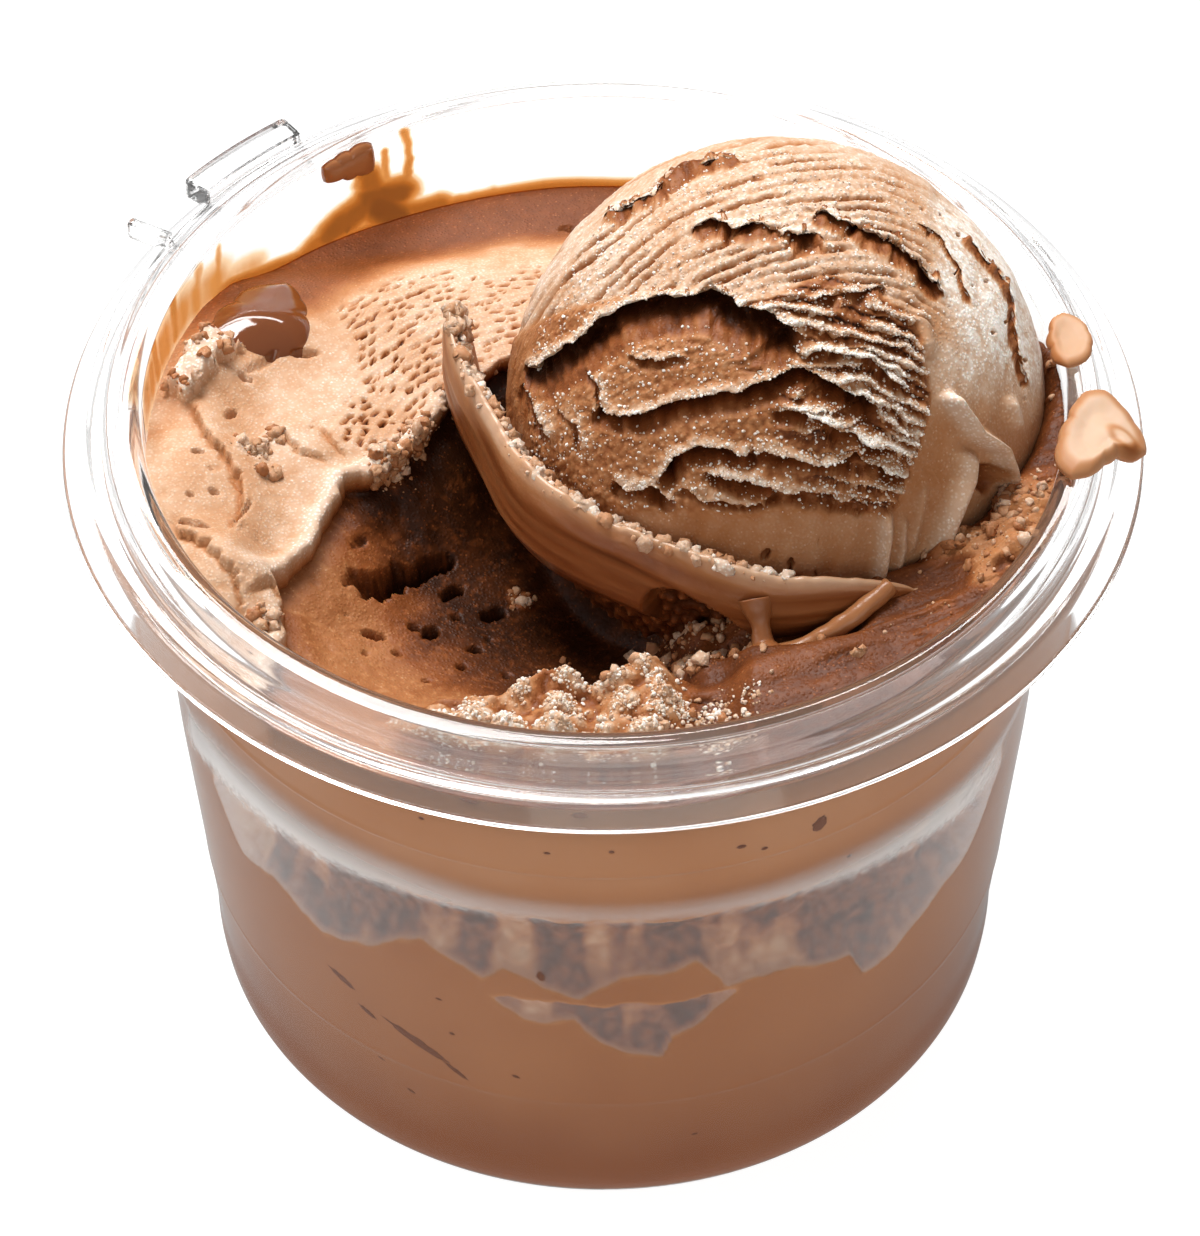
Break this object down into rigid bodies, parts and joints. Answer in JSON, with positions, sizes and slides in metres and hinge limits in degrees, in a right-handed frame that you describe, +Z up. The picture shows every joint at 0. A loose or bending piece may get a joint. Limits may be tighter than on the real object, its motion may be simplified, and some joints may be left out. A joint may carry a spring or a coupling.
{
  "type": "ice cream cup",
  "caption": "Clear round plastic tub with a stepped rim, filled with scooped chocolate ice cream and one rolled ball of it.",
  "frame": {"origin": "centre of the underside of the cup", "axes": "+Z up out of the cup's mouth, -Y towards the side of the trough that a viewer faces, +X towards the ball"},
  "size_m": [0.118, 0.118, 0.1061],
  "materials": {
    "clear_plastic": "clear glossy polypropylene",
    "ice_cream": "matt frozen chocolate ice cream",
    "melted": "glossy half-melted chocolate ice cream"
  },
  "bodies": {
    "root": {"cup": "clear_plastic", "ice_cream_fill": "ice_cream", "ice_cream_scoop": "ice_cream", "rim_drip": "melted", "rim_dab": "melted"}
  },
  "joints": []
}
